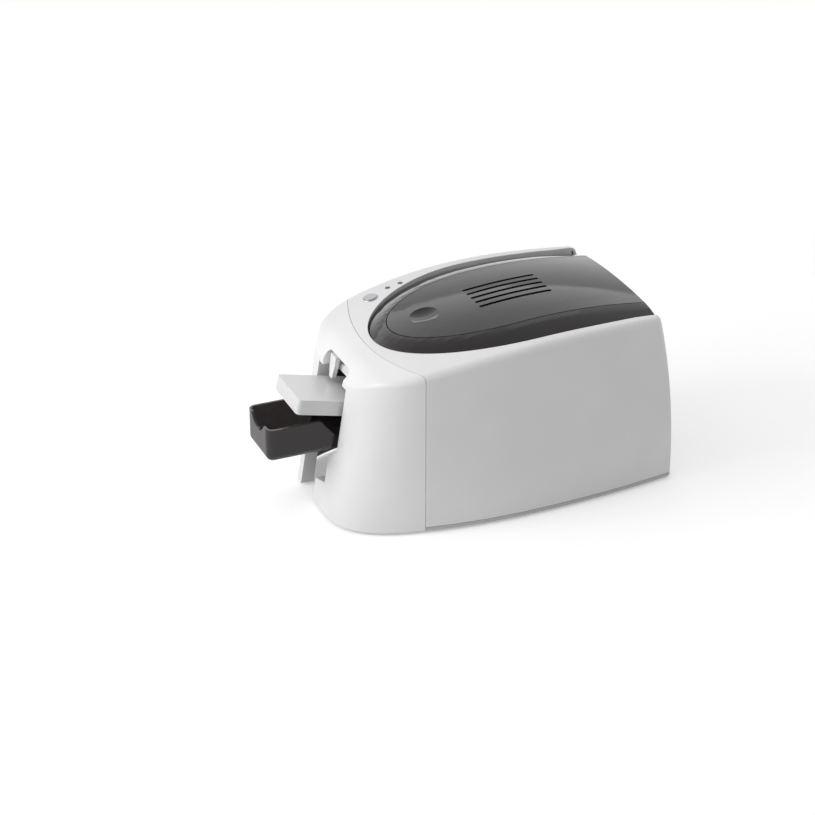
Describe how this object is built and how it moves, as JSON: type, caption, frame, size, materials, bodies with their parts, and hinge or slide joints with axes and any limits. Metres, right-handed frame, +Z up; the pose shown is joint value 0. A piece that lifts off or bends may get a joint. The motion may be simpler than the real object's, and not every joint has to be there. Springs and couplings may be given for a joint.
{
  "type": "id card printer",
  "caption": "Desktop ID card printer with a smoke-tinted hinged lid, leaning front mouth, cards in the feeder, output tray and a geared roller drive.",
  "frame": {"origin": "on the table, under the middle of the printer's bounding box", "axes": "+Z up, the front with its mouth faces -Y, +X to the right of a person behind the printer"},
  "size_m": [0.1924, 0.362, 0.1741],
  "materials": {
    "white_shell": "satin",
    "pan_grey": "matte",
    "foot_rubber": "matte",
    "smoke": "gloss",
    "button_grey": "satin",
    "lens": "gloss",
    "board": "satin",
    "black_plastic": "matte",
    "card_white": "satin",
    "steel": "satin",
    "bronze": "satin",
    "roller_rubber": "matte",
    "gear_white": "satin",
    "film": "gloss",
    "head_metal": "satin"
  },
  "bodies": {
    "housing": {"main_cover": "white_shell", "front_fascia": "white_shell", "base_pan": "pan_grey", "rubber_feet": "foot_rubber", "rear_panel": "pan_grey", "hinge_pins": "steel", "button_ring": "button_grey", "indicator_lights": "lens", "small_board": "board", "right_side_plate": "steel", "left_side_plate": "steel", "shaft_bushes": "bronze", "gear_pins": "steel", "stepper_motor": "steel", "card_feeder": "black_plastic", "feeder_gate": "black_plastic", "return_guide": "steel", "track_guide": "steel", "tray_guide": "black_plastic", "ribbon_film": "film", "main_board": "board", "board_parts": "black_plastic", "power_inlet": "black_plastic", "data_socket": "steel"},
    "lid": {"lid_frame": "smoke", "lid_panel": "smoke", "print_head": "head_metal", "head_bracket": "steel", "head_springs": "steel"},
    "tray": {"output_tray": "smoke"},
    "cards": {"card_stack": "card_white"},
    "gauge": {"gauge_tab": "white_shell"},
    "button": {"power_button": "button_grey"},
    "platen_roller": {"platen_shaft": "steel", "platen_rubber": "roller_rubber", "platen_gear": "gear_white"},
    "transport_roller": {"transport_shaft": "steel", "transport_rubber": "roller_rubber", "transport_gear": "gear_white"},
    "feed_roller": {"feed_shaft": "steel", "feed_rubber": "roller_rubber", "feed_gear": "gear_white"},
    "exit_roller": {"exit_shaft": "steel", "exit_rubber": "roller_rubber", "exit_gear": "gear_white"},
    "cleaner": {"cleaning_roller": "roller_rubber"},
    "link": {"link_gear": "gear_white"},
    "feed_link": {"feed_link_gear": "gear_white"},
    "take_up_link": {"take_up_link_gear": "gear_white"},
    "reduction": {"reduction_gear": "gear_white"},
    "motor_rotor": {"motor_pinion": "gear_white"},
    "supply": {"supply_spool": "black_plastic", "supply_roll": "film"},
    "take_up": {"take_up_spool": "black_plastic", "take_up_roll": "film", "take_up_gear": "gear_white"}
  },
  "joints": [
    {"name": "lid_hinge", "type": "hinge", "parent": "housing", "child": "lid", "pos_m": [0, 0.152, 0.15], "axis": [-1, 0, 0], "range_deg": [0, 65]},
    {"name": "tray_slide", "type": "slide", "parent": "housing", "child": "tray", "axis": [0, -1, 0], "range_m": [0, 0.045]},
    {"name": "cards_slide", "type": "slide", "parent": "housing", "child": "cards", "axis": [0, 0.974, -0.2267], "range_m": [-0.046, 0.04]},
    {"name": "gauge_slide", "type": "slide", "parent": "housing", "child": "gauge", "axis": [1, 0, 0], "range_m": [0, 0.008]},
    {"name": "button_press", "type": "slide", "parent": "housing", "child": "button", "axis": [0, 0.1894, -0.9819], "range_m": [0, 0.0012], "stiffness_N_per_m": 700, "springref_m": -0.0004},
    {"name": "platen_spin", "type": "hinge", "parent": "housing", "child": "platen_roller", "pos_m": [0, 0.024, 0.064], "axis": [1, 0, 0], "continuous": true},
    {"name": "transport_spin", "type": "hinge", "parent": "housing", "child": "transport_roller", "pos_m": [0, -0.014, 0.065], "axis": [1, 0, 0], "continuous": true},
    {"name": "feed_spin", "type": "hinge", "parent": "housing", "child": "feed_roller", "pos_m": [0, -0.06343, 0.07732], "axis": [1, 0, 0], "continuous": true},
    {"name": "exit_spin", "type": "hinge", "parent": "housing", "child": "exit_roller", "pos_m": [0, -0.07693, 0.06123], "axis": [1, 0, 0], "continuous": true},
    {"name": "cleaning_spin", "type": "hinge", "parent": "housing", "child": "cleaner", "pos_m": [0, -0.014, 0.08], "axis": [1, 0, 0], "continuous": true},
    {"name": "link_spin", "type": "hinge", "parent": "housing", "child": "link", "pos_m": [0, 0.00477, 0.05557], "axis": [1, 0, 0], "continuous": true},
    {"name": "feed_link_spin", "type": "hinge", "parent": "housing", "child": "feed_link", "pos_m": [0, -0.03998, 0.0661], "axis": [1, 0, 0], "continuous": true},
    {"name": "take_up_link_spin", "type": "hinge", "parent": "housing", "child": "take_up_link", "pos_m": [0, -0.01789, 0.0902], "axis": [1, 0, 0], "continuous": true},
    {"name": "reduction_spin", "type": "hinge", "parent": "housing", "child": "reduction", "pos_m": [0, 0.03897, 0.0523], "axis": [1, 0, 0], "continuous": true},
    {"name": "motor_spin", "type": "hinge", "parent": "housing", "child": "motor_rotor", "pos_m": [0, 0.06897, 0.0523], "axis": [1, 0, 0], "continuous": true},
    {"name": "supply_spin", "type": "hinge", "parent": "housing", "child": "supply", "pos_m": [0, 0.075, 0.11], "axis": [1, 0, 0], "continuous": true},
    {"name": "take_up_spin", "type": "hinge", "parent": "housing", "child": "take_up", "pos_m": [0, -0.03, 0.116], "axis": [1, 0, 0], "continuous": true}
  ],
  "couplings": [
    {"joint": "link_spin", "follows": "platen_spin", "ratio": -1.3333},
    {"joint": "transport_spin", "follows": "platen_spin", "ratio": 1},
    {"joint": "feed_link_spin", "follows": "platen_spin", "ratio": -0.85714},
    {"joint": "feed_spin", "follows": "platen_spin", "ratio": 1},
    {"joint": "exit_spin", "follows": "platen_spin", "ratio": -1.3333},
    {"joint": "take_up_link_spin", "follows": "platen_spin", "ratio": -0.88889},
    {"joint": "take_up_spin", "follows": "platen_spin", "ratio": 0.8},
    {"joint": "reduction_spin", "follows": "platen_spin", "ratio": -1.7143},
    {"joint": "motor_spin", "follows": "platen_spin", "ratio": 6.8571}
  ]
}
